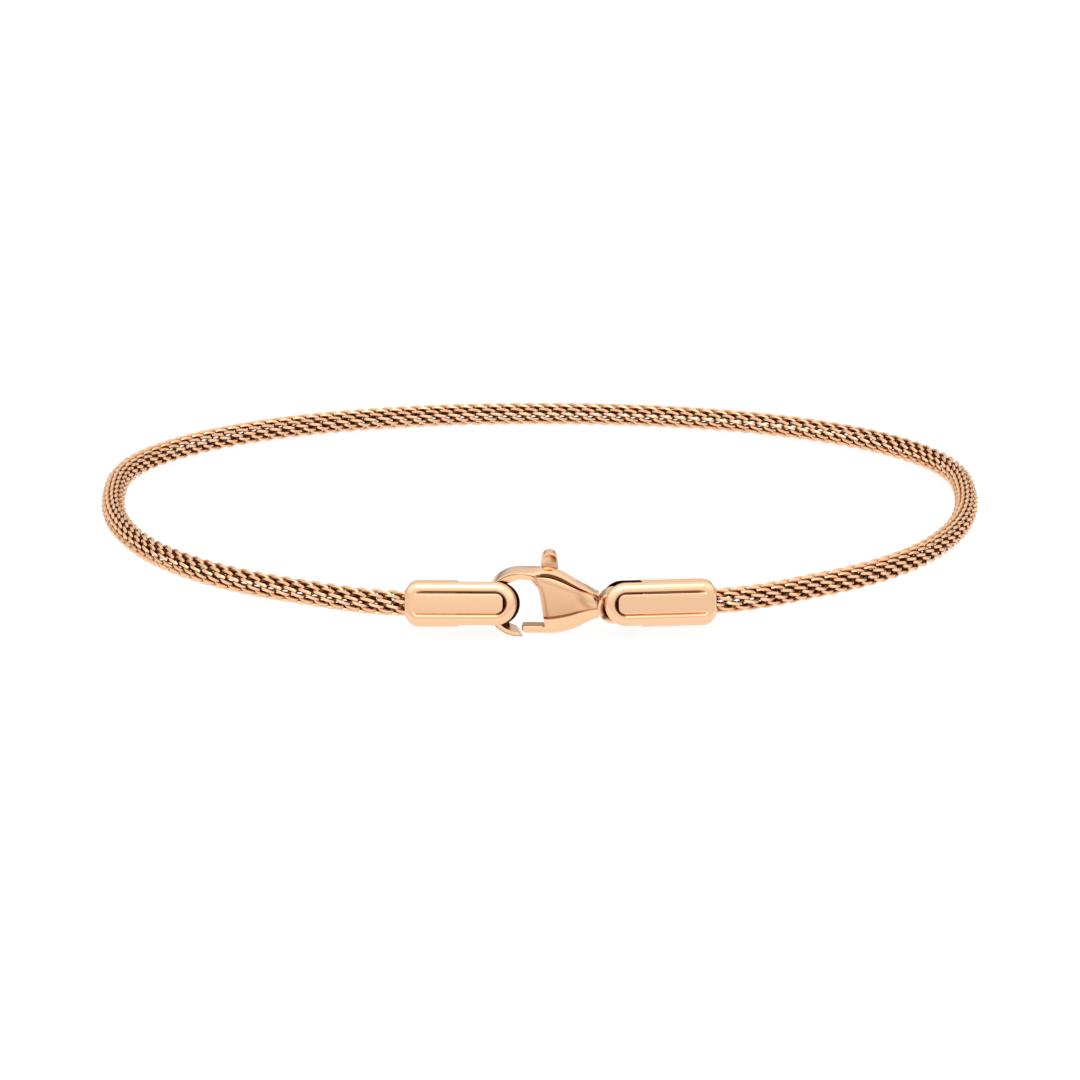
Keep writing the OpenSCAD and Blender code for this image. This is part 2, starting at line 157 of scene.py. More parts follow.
def build_mesh(name, points, faces, mark="", value=0.0):
    """A closed mesh from an array of points in millimetres and an array of faces. Points that
    fall together are joined, faces that shrink to a line are left out, the rest face outward,
    and edges sharper than 38 degrees stay crisp. A mark is an attribute with a value for each
    point, which a material reads."""
    points, faces = np.asarray(points, float).reshape(-1, 3) * MM, np.asarray(faces)
    points, kept, same = np.unique(np.round(points, 7), axis=0, return_index=True,
                                   return_inverse=True)
    faces = same.reshape(-1)[faces]
    corner = faces != np.roll(faces, 1, axis=1)
    whole = corner.sum(1) > 2
    corner, faces = corner[whole], faces[whole]
    sides = corner.sum(1).astype(np.int32)
    mesh = bpy.data.meshes.new(name)
    mesh.vertices.add(len(points))
    mesh.vertices.foreach_set("co", points.ravel())
    mesh.loops.add(int(sides.sum()))
    mesh.loops.foreach_set("vertex_index", faces[corner].astype(np.int32))
    mesh.polygons.add(len(sides))
    mesh.polygons.foreach_set("loop_start", (np.cumsum(sides) - sides).astype(np.int32))
    mesh.update(calc_edges=True)
    mesh.validate()
    shell = bmesh.new()
    shell.from_mesh(mesh)
    if len(sides) > 1:
        bmesh.ops.recalc_face_normals(shell, faces=shell.faces)
    shell.to_mesh(mesh)
    shell.free()
    mesh.polygons.foreach_set("use_smooth", np.ones(len(mesh.polygons), bool))
    mesh.set_sharp_from_angle(angle=np.radians(38))
    if mark:
        store = mesh.attributes.new(mark, "FLOAT", "POINT")
        store.data.foreach_set("value", np.ravel(value)[kept].astype(np.float32))
    piece = bpy.data.objects.new(name, mesh)
    bpy.context.scene.collection.objects.link(piece)
    return piece


def rod_faces(rows, columns, ring=False):
    """Faces of rings of points in rows. The rows close on themselves as a ring, or each end is
    closed by strips between the two halves of its last ring."""
    i, j = np.meshgrid(np.arange(rows if ring else rows - 1), np.arange(columns), indexing="ij")
    k, n = (j + 1) % columns, (i + 1) % rows
    wall = np.stack([i * columns + j, i * columns + k, n * columns + k, n * columns + j],
                    -1).reshape(-1, 4)
    if ring:
        return wall
    m = np.arange(columns // 2 - 1)
    end = np.stack([m, m + 1, columns - 2 - m, columns - 1 - m], -1)
    return np.concatenate([wall, end[:, ::-1], end + (rows - 1) * columns])


def smooth_curve(points, count):
    """Points along a curve through a few chosen points: each span is a cubic whose slope at a
    chosen point is half the step between the points beside it."""
    p = np.asarray(points, float)
    p = np.concatenate([[2 * p[0] - p[1]], p, [2 * p[-1] - p[-2]]])
    t = np.linspace(0, len(p) - 3, count)
    i = np.minimum(t.astype(int), len(p) - 4)
    f = (t - i)[:, None]
    a, b, c, d = p[i], p[i + 1], p[i + 2], p[i + 3]
    return b + f / 2 * (c - a + f * (2 * a - 5 * b + 4 * c - d + f * (3 * b - a - 3 * c + d)))


def band(outer, inner, front, back, edge_r, crown=0.0, crown_half=1.0, face_steps=1):
    """Rings of a bar between two lines in the XZ plane: each ring is a rectangle with rounded
    corners, from the inner line to the outer and from front to back, whose outer side is
    raised by a crown that falls off with the square of the depth."""
    quarter = np.radians([0, 15, 30, 45, 60, 75, 90])
    corners = [(1, 1), (-1, 1), (-1, -1), (1, -1)]
    across = np.linspace(1, -1, 11)[1:-1]
    down = np.linspace(1, -1, face_steps + 1)[1:-1]
    sy, sv, cy, cv = [], [], [], []
    for turn, (y, v) in enumerate(corners):
        bend = quarter + turn * np.pi / 2
        sy.append(np.full(7, y))
        sv.append(np.full(7, v))
        cy.append(np.cos(bend))
        cv.append(np.sin(bend))
        side = across if turn % 2 == 0 else down if turn == 1 else down[:0]
        level = turn % 2 == 0
        sy.append(side * (1 if turn == 0 else -1) if level else np.full(len(side), -1.0))
        sv.append(np.full(len(side), float(v)) if level else side)
        cy.append(np.zeros(len(side)) if level else np.full(len(side), -1.0))
        cv.append(np.full(len(side), float(v)) if level else np.zeros(len(side)))
    sy, sv, cy, cv = (np.concatenate(part) for part in (sy, sv, cy, cv))
    reach = outer - inner
    half_v = np.linalg.norm(reach, axis=1)[:, None] / 2
    half_y = np.broadcast_to((back - front) / 2, len(outer))[:, None]
    middle_y = np.broadcast_to((back + front) / 2, len(outer))[:, None]
    r = np.minimum(edge_r, 0.48 * half_v)
    y = middle_y + sy * (half_y - r) + cy * r
    v = sv * (half_v - r) + cv * r
    rise = np.broadcast_to(crown, len(outer))[:, None]
    width = np.broadcast_to(crown_half, len(outer))[:, None]
    v = v + rise * (1 - (y / width) ** 2) * np.clip(v / half_v, 0, 1)
    middle, out = (outer + inner) / 2, unit(reach)
    return np.stack([middle[:, :1] + out[:, :1] * v, y, middle[:, 1:] + out[:, 1:] * v], -1)


def round_ends(rings, r, first=True, last=True):
    """Rings with rows added past their ends: each added ring draws in and moves on along a
    quarter circle, so that the end has a rounded edge."""
    turn = np.radians([18, 36, 54, 72, 90])[:, None, None]

    def end(edge, before):
        centre = edge.mean(0)
        return (edge + unit(centre - edge) * r * (1 - np.cos(turn))
                + unit(centre - before.mean(0)) * r * np.sin(turn))

    parts = [end(rings[0], rings[1])[::-1]] if first else []
    return np.concatenate(parts + [rings] + ([end(rings[-1], rings[-2])] if last else []))


# Weave of the tube: one wire coiled as it winds round the tube, each round hooked in the last
wire_d = 0.23
round_length = 0.5617
turns_per_round = 6.5
coil_length = round_length + 0.28
coil_height = 0.30
coil_lean = 0.08
coil_point, coil_flat = 0.85, 0.8
wire_sides = 6
steps_per_turn = 14


def woven_wire(name, first_share, last_share):
    """A stretch of the wire that the tube is woven of. The wire winds round the tube as a screw
    while it coils: within each coil's turn it sways along the tube as a rounded triangle wave
    and moves in and out as a rounded square wave, a quarter turn apart. Half a turn is left
    over in each round, so that the bends of one round hook those of the next."""
    path = tube_route()
    total = np.linalg.norm(np.diff(path, axis=0), axis=1).sum()
    rounds = (total - coil_length) / round_length
    steps = turns_per_round * steps_per_turn
    first, last = (round(rounds * steps * share) for share in (first_share, last_share))
    winding = np.arange(first, last + 1) / steps
    phase = 2 * np.pi * turns_per_round * winding
    sway = np.arcsin(coil_point * np.sin(phase)) / np.arcsin(coil_point)
    lift = np.tanh(coil_flat * np.cos(phase)) / np.tanh(coil_flat)
    middle_r = mesh_r - wire_d / 2 - coil_height / 2
    angle = coil_lean * sway - 2 * np.pi * winding
    radius = middle_r + coil_height / 2 * lift
    point, outward, upward = along(path, coil_length / 2 + round_length * winding
                                   + coil_length / 2 * sway)
    radial = np.cos(angle)[:, None] * outward + np.sin(angle)[:, None] * upward
    centre = point + radius[:, None] * radial
    tangent = unit(np.gradient(centre, axis=0))
    out = unit(radial - (radial * tangent).sum(-1, keepdims=True) * tangent)
    side = np.cross(tangent, out)
    a = np.linspace(0, 2 * np.pi, wire_sides, endpoint=False)[:, None]
    skin = centre[:, None] + wire_d / 2 * (np.cos(a) * out[:, None]
                                           + np.sin(a) * side[:, None])
    # How deep each point lies in the weave, which sets its painted shade
    depth = mesh_r - np.linalg.norm(skin - point[:, None], axis=-1)
    return build_mesh(name, skin, rod_faces(len(winding), wire_sides), "depth_in_weave",
                      depth / (coil_height + wire_d))


def turn_x(p, a):
    """Points turned round the X axis."""
    x, y, z = p[..., 0], p[..., 1], p[..., 2]
    return np.stack([x, y * np.cos(a) - z * np.sin(a), y * np.sin(a) + z * np.cos(a)], -1)


def turn_y(p, a):
    """Points turned round the Y axis."""
    x, y, z = p[..., 0], p[..., 1], p[..., 2]
    return np.stack([x * np.cos(a) + z * np.sin(a), y, z * np.cos(a) - x * np.sin(a)], -1)


def turn_z(p, a):
    """Points turned round the Z axis."""
    x, y, z = p[..., 0], p[..., 1], p[..., 2]
    return np.stack([x * np.cos(a) - y * np.sin(a), x * np.sin(a) + y * np.cos(a), z], -1)


def place_left_cap(p):
    """Points of a cap leant back, dipped and turned in at the left end of the tube."""
    return (turn_z(turn_y(turn_x(p, -left_roll), -left_dip), -left_yaw)
            + left_mouth + [0, shift_y, 0])


def place_right_cap(p):
    """Points of a cap mirrored, leant back and turned in at the right end of the tube."""
    return (turn_z(turn_x(p * [-1, 1, 1], -right_roll), right_yaw)
            + right_mouth + [0, shift_y, 0])


def rim_rings():
    """The half-round rim of one cheek: half a circle with a flat back carried round a long
    loop, which has a half turn at the cap's end and two rounded corners at its mouth."""
    corner = mouth_r - rim_r
    straight = np.linspace(mouth_r, bend_x, 30)
    bend = np.radians(np.linspace(90, -90, 49))[1:-1]
    turn = np.radians(np.linspace(0, 90, 13))
    up = rim_mid - corner
    mouth = np.linspace(-up, up, 14)[1:-1]
    x = np.concatenate([straight, bend_x + rim_mid * np.cos(bend), straight[::-1],
                        mouth_r - corner * np.sin(turn)[1:], np.full(12, rim_r),
                        mouth_r - corner * np.cos(turn)[:-1]])
    z = np.concatenate([np.full(30, rim_mid), rim_mid * np.sin(bend), np.full(30, -rim_mid),
                        -up - corner * np.cos(turn)[1:], mouth,
                        up + corner * np.sin(turn)[:-1]])
    out = unit(np.stack([np.roll(z, 1) - np.roll(z, -1), np.roll(x, -1) - np.roll(x, 1)], -1))
    a = np.linspace(0, np.pi / 2, 17)
    crest = 0.15
    reach = np.concatenate([-crest + (rim_r + crest) * np.cos(a),
                            -crest - (rim_r - 0.06 - crest) * np.sin(a[1:])])
    reach = np.concatenate([reach, [reach[-1] + 0.01, reach[0] - 0.01]])
    rise = rim_r * np.concatenate([np.sin(a), np.cos(a[1:]) ** 0.45, [-0.004, -0.004]])
    return np.stack([x[:, None] + out[:, :1] * reach,
                     np.broadcast_to(-fork_gap / 2 - rise, (len(x), 35)),
                     z[:, None] + out[:, 1:] * reach], -1)


def plate_rings():
    """The inset plate of one cheek: flat, with rolled edges and rounded corners at the slit,
    and rising by a smooth step to the rim's crest at the mouth. It is crowned a little: its
    height falls off with the fourth power of the distance from its middle line."""
    roll, corner, end = 0.09, 0.5, plate_end
    a = np.radians(np.linspace(0, 90, 7))
    x = np.concatenate([np.linspace(0.44, 1.3, 24), np.linspace(1.4, end - corner - 0.1, 30),
                        end - corner + corner * np.sin(np.linspace(0, np.pi / 2, 14)) * 0.999])
    bend = np.clip((x - (end - corner)) / corner, 0, 1)
    half = plate_h / 2 - 0.045 - corner * (1 - np.sqrt(1 - bend ** 2))
    edge = 1 - np.concatenate([np.sin(a), np.ones(17), np.sin(a)[::-1]])
    across = np.concatenate([-1 + 0 * a, np.linspace(-1, 1, 19)[1:-1], 1 + 0 * a])
    slide = np.concatenate([-np.cos(a), np.zeros(17), np.cos(a)[::-1]])
    z = across * (half[:, None] - roll) + slide * roll
    t = np.clip((1.25 - x) / 0.8, 0, 1)
    level = plate_t + (rim_r - 0.004 - plate_t) * smooth_step(t)
    near_end = np.clip((x - (end - roll)) / roll, 0, 1)
    height = level[:, None] - roll * edge - (roll * (1 - np.sqrt(1 - near_end ** 2)))[:, None]
    height = height - 0.03 * (z / (plate_h / 2)) ** 4
    back = -fork_gap / 2 + 0 * z
    return np.concatenate([np.stack([x[:, None] + 0 * z, back - height, z], -1),
                           np.stack([x[:, None] + 0 * z, back, z], -1)[:, ::-1]], 1)


def rim_painted_shade(rings):
    """Painted shade for each point of a rim: on its inner side beside the plate, more above
    than below and fading out towards the mouth, and full on its flat back inside the fork."""
    column = np.concatenate([np.clip((np.arange(33) - 18) / 3, 0, 1), [0, 0]])
    x, z = rings[:, :, 0], rings[:, :, 2]
    side = np.clip((x - 0.75) / 0.5, 0, 1) * (0.62 + 0.38 * np.clip(z / 0.5, -1, 1))
    side = np.maximum(side, np.clip((x - bend_x) / 0.3, 0, 1))
    return np.maximum(0.8 * column * side, np.concatenate([np.zeros(33), [1, 1]]))


def plate_painted_shade(rings):
    """Painted shade for each point of a plate: on its rolled edges, more above than below and
    fading out towards the mouth, on its end by the slit, and lightly on its back inside the
    fork."""
    edge = np.concatenate([[0.8, 0.8, 0.7, 0.4, 0.15, 0, 0], np.zeros(17),
                           [0, 0, 0.15, 0.4, 0.7, 0.8, 0.8]])
    x, z = rings[:, :, 0], rings[:, :, 2]
    side = np.clip((x - 0.75) / 0.5, 0, 1) * (0.55 + 0.45 * np.clip(z / 0.5, -1, 1))
    back = np.concatenate([np.zeros(31), np.full(31, 0.3)])
    return np.maximum(np.concatenate([edge, edge]) * side,
                      np.maximum(back, np.clip((x - plate_end + 0.03) / 0.03, 0, 1)))


def slit_rings():
    """The floor of the slit between plate and rim: a thin strip whose width follows a circle
    inside the rim."""
    x = np.linspace(cap_len - 2 * rim_r - plate_slit - 0.1, bend_x + 0.85, 12)
    half = np.sqrt(0.95 ** 2 - (x - bend_x) ** 2)[:, None]
    z = half * np.array([-1, -0.5, 0.5, 1, 1, 0.5, -0.5, -1])
    y = np.array([-0.05] * 4 + [-0.002] * 4) - fork_gap / 2 + 0 * z
    return np.stack([x[:, None] + 0 * z, y, z], -1)


def cup_rings(long):
    """The solid cup of a cap with its bore: rings that grow from the bore's floor to its mouth,
    over the rounded end and along the outside for its length, each ring a rectangle with
    rounded corners."""
    a = np.radians(np.linspace(0, 360, 97)[:-1])
    bore = mesh_r + mesh_gap
    floor_x = mesh_grip + bore_spare
    half_y, half_z = (fork_gap + (1 + cup_proud) * plate_t) / 2, cup_h / 2
    inside = [(floor_x, 0), (floor_x, bore), (0.06, bore), (0.02, bore + 0.02),
              (0.0, bore + 0.06)]
    rows = [np.stack([np.full(96, x), r * np.cos(a), r * np.sin(a)], -1) for x, r in inside]
    q = np.concatenate([mouth_r * (1 - np.cos(np.radians(np.linspace(3, 90, 16)))),
                        np.linspace(mouth_r, long - 0.04, 10)[1:], [long, long]])
    hy, hz = (half - r + np.sqrt(r ** 2 - np.clip(r - q, 0, 1) ** 2)
              for half, r in ((half_y, mouth_side_r), (half_z, mouth_r)))
    hy[-2:], hz[-2:] = hy[-3] - [0.03, 0.2], hz[-3] - [0.03, 0.2]
    r = np.minimum(0.6, np.minimum(hy, hz) - 0.02)[:, None]
    y = np.sign(np.cos(a)) * (hy[:, None] - r) * (np.abs(np.cos(a)) > 1e-9) + r * np.cos(a)
    z = np.sign(np.sin(a)) * (hz[:, None] - r) * (np.abs(np.sin(a)) > 1e-9) + r * np.sin(a)
    outside = np.stack([q[:, None] + 0 * y, y, z], -1)
    return np.concatenate([np.array(rows), outside])


# Painted shade for the rows of the cup: its bore and its end inside the fork
cup_painted_shade = np.zeros((32, 1))
cup_painted_shade[:3], cup_painted_shade[-2:] = 0.8, 0.3


# Stations of the clasp's body: place as a share of the way from the hook's middle to the waist,
# heights as shares of the hook's radius (peak, ridge, shoulder, crease, bottom) and half depths
# as shares of the body's (ridge, shoulder, crease)
stations = np.array([
    [0.000, 1.000, 0.990, 0.880, -0.330, -0.900, 0.67, 0.80, 0.97],
    [0.177, 1.050, 0.990, 0.880, -0.330, -0.910, 0.67, 0.80, 0.97],
    [0.250, 1.085, 1.020, 0.875, -0.330, -0.915, 0.66, 0.80, 0.97],
    [0.320, 1.105, 1.035, 0.865, -0.325, -0.920, 0.64, 0.80, 0.97],
    [0.381, 1.105, 1.020, 0.847, -0.316, -0.920, 0.63, 0.83, 1.00],
    [0.507, 1.025, 0.915, 0.736, -0.271, -0.885, 0.61, 0.83, 1.00],
    [0.634, 0.845, 0.735, 0.582, -0.227, -0.820, 0.59, 0.77, 0.91],
    [0.760, 0.625, 0.550, 0.433, -0.156, -0.710, 0.54, 0.68, 0.78],
    [0.888, 0.420, 0.395, 0.345, -0.120, -0.547, 0.46, 0.56, 0.65],
    [1.000, 0.235, 0.205, 0.170, -0.110, -0.465, 0.30, 0.46, 0.54]])


# Columns of the stations
peak_at, ridge_at, shoulder_at, crease_at, bottom_at = range(1, 6)
ridge_half, shoulder_half, crease_half = range(6, 9)


def station_value(column, x):
    """One of the body's sizes at places along it, eased by averaging a short stretch."""
    scale = hook_r if column < ridge_half else body_depth / 2
    q = x[..., None] / waist_x + np.linspace(-0.05, 0.05, 9)
    return np.interp(q, stations[:, 0], stations[:, column]).mean(-1) * scale


def body_half(x):
    """Half depth and height of the body's outline at places along it. From the top it goes down
    a steep side below the ridge, over a shoulder that fades as an exponential, down the face,
    which draws in a little before the crease and rounds off towards the neck, and round
    under on a parabola."""
    ridge, shoulder, crease, bottom = (
        station_value(i, x) for i in (ridge_at, shoulder_at, crease_at, bottom_at))
    d0, d1, d2 = (station_value(i, x) for i in (ridge_half, shoulder_half, crease_half))
    one = np.ones((len(x), 1))
    deep = np.array([-0.02, -0.07, -0.10, -0.11, -0.10, -0.06, 0.01, 0.07])
    down = np.array([0.06, 0.07, 0.10, 0.30, 0.65, 0.88, 0.97, 1.00])
    t = (1 - np.cos(np.linspace(0, np.pi, 34)[1:])) / 2
    tall = (shoulder - crease)[:, None]
    drop = np.maximum(d1 - d0 - 0.07, 0.015)[:, None]
    neck = np.clip((x - neck_x) / neck_length, 0, 1)[:, None]
    face_y = (d1[:, None] + (d2 - d1)[:, None] * t - drop * np.exp(-t * tall / 0.2)
              - 0.08 * d2[:, None] * t ** 3
              - 0.2 * smooth_step(neck) * (1 - t) ** 2.2)
    q = np.linspace(0, 1, 22)[1:]
    low_y = (0.92 + 0.08 * np.minimum(q / 0.06, 1)
             - 0.5 * np.clip((q - 0.55) / 0.45, 0, 1) ** 2.5)
    y = np.concatenate([0.1 * one, d0[:, None] + deep, face_y, d2[:, None] * low_y,
                        0.1 * one], 1)
    z = np.concatenate([(ridge - 0.06)[:, None] * one,
                        ridge[:, None] - np.maximum(down * (ridge - shoulder)[:, None], 0.06),
                        shoulder[:, None] - tall * t,
                        crease[:, None] + (bottom - crease)[:, None] * q,
                        bottom[:, None] * one], 1)
    return y, z


# Left edge of the body along the hook's opening, as place and height from the hook's middle
left_edge = np.array([[0.80, 2.40], [0.80, 1.66], [1.06, 1.45], [1.20, 1.23], [1.30, 0.88],
                      [1.40, 0.38], [1.465, -0.12], [1.53, -0.54], [1.58, -0.97],
                      [1.67, -1.47], [1.76, -1.93], [1.80, -2.40]])
# Right wall of the lever's slot, in the same way
slot_wall = np.array([[3.95, 3.25], [3.72, 1.10], [3.12, -0.60], [2.72, -1.20], [2.72, -3.25]])


def wall_place(wall, z):
    """Place along the body of an upright wall, at heights, eased as it goes down."""
    q = z[..., None] + np.linspace(-0.12, 0.12, 7)
    return np.interp(-q, -wall[:, 1], wall[:, 0]).mean(-1)


def body_rings(wall, near, far, swelling):
    """Rings of a slice of the body between two depths, near and far, each either a number or
    the name of a side, and each point's painted shade. The rows run from an upright wall to the
    waist; by the left wall the outside swells along a quarter sine. Painted shade darkens the
    channel below the ridge, the crease and the waist's end, a narrow band of the face beside
    the wall and a diagonal across it at the neck, and the face darkens evenly from its top
    towards the crease, less towards the neck."""
    share = np.concatenate([0.11 * np.linspace(0, 0.9, 10) ** 2.2, np.linspace(0.11, 1, 46)])
    y, z = body_half(share * waist_x)
    # The wall leans, so each place depends on its height: three rounds settle both
    for _ in range(3):
        start = wall_place(wall, z)
        place = start + share[:, None] * (waist_x - start)
        y, z = (sample_rows(place, part) for part in (0, 1))
    # Painted shade on the face: darker evenly from its top towards the crease, less towards the
    # neck, with a darker diagonal across it at the neck
    column = np.arange(64)
    face = np.where((column > 10) & (column < 41), 0.05 + 0.22 * (column - 9) / 32, 0)
    neck = np.clip((place - neck_x) / neck_length, 0, 1)
    saddle = np.exp(-((place + z - 4.4) / 0.3) ** 2) * np.clip(2 * neck, 0, 1) * (column > 10)
    painted_shade = np.where(column < 41, face * (1 - 0.8 * neck) + 0.25 * saddle, 0)
    # A narrow band of painted shade on the face beside the wall
    painted_shade = painted_shade + 0.22 * np.exp(-((place - start - 0.27) / 0.07) ** 2) * (
        (column > 9) & (column < 41) & (share < 0.3)[:, None])
    # Painted shade in the channel below the ridge and in the crease, lighter towards the neck
    for first, values in ((1, np.array([0.4, 0.7, 0.8, 0.8, 0.8, 0.8, 0.75, 0.35])),
                          (41, np.array([0.85, 0.85, 0.5]))):
        painted_shade[:, first:first + len(values)] = values * (1 - 0.4 * neck[:, :1])
    # Painted shade across the face at the waist's end
    painted_shade[-3:, 9:42] = [[0.25], [0.65], [0.9]]
    if swelling:
        base = np.minimum(y, 0.78 + 0.2 * np.clip((1.5 - z) / 0.8, 0, 1))
        swell = np.clip((place - start) / swell_length, 0, 1)
        y = base + (y - base) * np.sin(np.pi / 2 * swell)
    if near == "front":
        close, away = np.minimum(-y, far), np.full_like(y, far)
    else:
        close, away = np.full_like(y, near), np.maximum(y, near)
        if near == slot_front:
            away = np.minimum(away, slot_rear)
        else:
            z = np.where(y < near, np.minimum(z, z[:, 9:10]), z)
    plain = np.zeros_like(painted_shade)
    painted_shade = (painted_shade, plain) if near == "front" else (plain, painted_shade)
    return (np.concatenate([np.stack([place, close, z], -1),
                            np.stack([place, away, z], -1)[:, ::-1]], 1),
            False, np.concatenate([painted_shade[0], painted_shade[1][:, ::-1]], 1))


# The body's outline at many places along it
profile_x = np.linspace(-0.2, 1.0, 241) * waist_x
profile_y, profile_z = body_half(profile_x)


def sample_rows(place, part):
    """The body's half depth (part 0) or height (part 1) at places given for every column."""
    table = (profile_y, profile_z)[part]
    f = np.clip((place - profile_x[0]) / (profile_x[1] - profile_x[0]),
                0, len(profile_x) - 1.001)
    i = f.astype(int)
    column = np.arange(table.shape[1])
    return table[i, column] * (1 - f + i) + table[i + 1, column] * (f - i)


def hook_rings():
    """The hook: a bar between two lines, the outer a circle and the inner a circle set off from
    it, from the tip below, round the left and over the top, where they run on into the body.
    A fine groove runs along its front, just inside the outer edge. Painted shade darkens the
    groove, the front's strip outside the groove where it runs into the body, the inside near
    the tip and the tip's rounded end."""
    a = np.radians(np.linspace(-85.8, -262, 90))
    b = np.radians(np.linspace(-94, -244, 90))
    ring_out = (hook_r - 0.02) * np.stack([np.cos(a), np.sin(a)], -1)
    ring_in = [0.03, -0.15] + hook_hole_r * np.stack([np.cos(b), np.sin(b)], -1)
    run_on, spans = 60, 7
    over = smooth_curve([ring_out[-6], ring_out[-1], [0, 2.23], [0.42, 2.225], [0.80, 2.215],
                         [1.06, 2.205], [1.25, 2.195], [1.35, 2.19]], run_on)
    under = smooth_curve([ring_in[-6], ring_in[-1], [-0.33, 1.665], [0, 1.77], [0.46, 1.76],
                          [0.84, 1.64], [1.09, 1.42], [1.24, 1.17]], run_on)
    first = run_on // spans + 1
    outer = np.concatenate([ring_out, over[first:]])
    inner = np.concatenate([ring_in, under[first:]])
    crown = np.interp(outer[:, 0], [-0.5, 0.3, 0.93, 1.38], [0.02, 0.05, 0.12, 0.22])
    crown = np.where(outer[:, 1] < 1, 0.02, crown)
    half = hook_depth / 2
    rings = band(outer, inner, -half, half, 0.06, crown, half * 1.05, face_steps=18)
    x, y, z = rings[..., 0], rings[..., 1], rings[..., 2]
    slim = np.clip((0.3 - x) / 1.3, 0, 1) * np.clip(z / 1.2, 0, 1)
    column = np.arange(rings.shape[1])
    face = (column > 22) & (column < 40)
    line = np.interp(outer[:, 0], [-0.5, 0.2, 0.66, 1.0, 1.3], [0.88, 0.88, 0.5, 0.26, 0.0])
    line = np.where(outer[:, 1] > 0, line, 0.82)[:, None]
    groove = face * np.exp(-((1 - (column - 22) / 9 - line) / 0.1) ** 2)
    tip = np.clip(1 - np.arange(len(rings)) / 14, 0, 1)[:, None]
    inside = (column > 44) & (column < 60)
    above_line = face & (1 - (column - 22) / 9 > line)
    # Painted shade in the groove, inside near the tip, and on the front's strip outside the
    # groove where it runs into the body
    painted_shade = np.maximum(0.75 * groove, 0.12 * tip ** 0.5 * inside)
    painted_shade = np.maximum(painted_shade, 0.7 * above_line * np.clip((x - 1.0) / 0.16, 0, 1))
    rings = np.stack([x - tip_slant * tip ** 2 * (y / half + 1) / 2,
                      y * (1 - 0.13 * slim) + 0.1 * slim + 0.035 * groove, z], -1)
    rings = round_ends(rings, 0.06, last=False)
    # The rounded tip end gets a light painted shade
    return rings, False, np.concatenate([np.full((5, rings.shape[1]), 0.15), painted_shade])


def ridge_rings(x_first, x_last, back=None):
    """The ridge along the body's top between two places, raised by a crown. Its back is either
    at a given depth or widens by a smooth step from the slot's front to the ridge's own."""
    x = np.linspace(x_first, x_last, 50)
    ridge, peak, half = (station_value(i, x) for i in (ridge_at, peak_at, ridge_half))
    outer = np.stack([x, ridge], -1)
    front = -half
    if back is None:
        t = np.clip((x - 3.95) / 0.7, 0, 1)
        back = slot_front + (half - slot_front) * smooth_step(t)
    return band(outer, outer - [0, ridge_t], front, back, 0.05, peak - ridge, half * 1.05)


def tail_rings():
    """The tail ring: a rectangle with rounded corners carried once round. What lies inside the
    cap's fork gets painted shadow."""
    a = np.linspace(0, 2 * np.pi, 97)[:-1]
    spoke = np.stack([np.cos(a), np.sin(a)], -1)
    middle = np.array([tail_x, waist_mid])
    rings = band(middle + tail_r * spoke, middle + tail_hole_r * spoke,
                 -tail_depth / 2, tail_depth / 2, 0.14)
    # Painted shadow on the ring where it lies inside the cap's fork
    fork = tail_x - right_post_back - cap_len + post_u
    level = np.clip((0.85 - np.abs(rings[..., 2] - waist_mid)) / 0.25, 0, 1)
    return rings, True, level * np.clip((rings[..., 0] - fork + 0.1) / 0.12, 0, 1)


def root_rings():
    """The short neck that joins the tail ring to the waist."""
    x = np.linspace(waist_x - 0.35, waist_x + 0.25, 8)
    top = np.stack([x, np.full(8, waist_mid + 0.32 * waist_h)], -1)
    return band(top, top - [0, 0.64 * waist_h], -0.5, 0.5, 0.2)


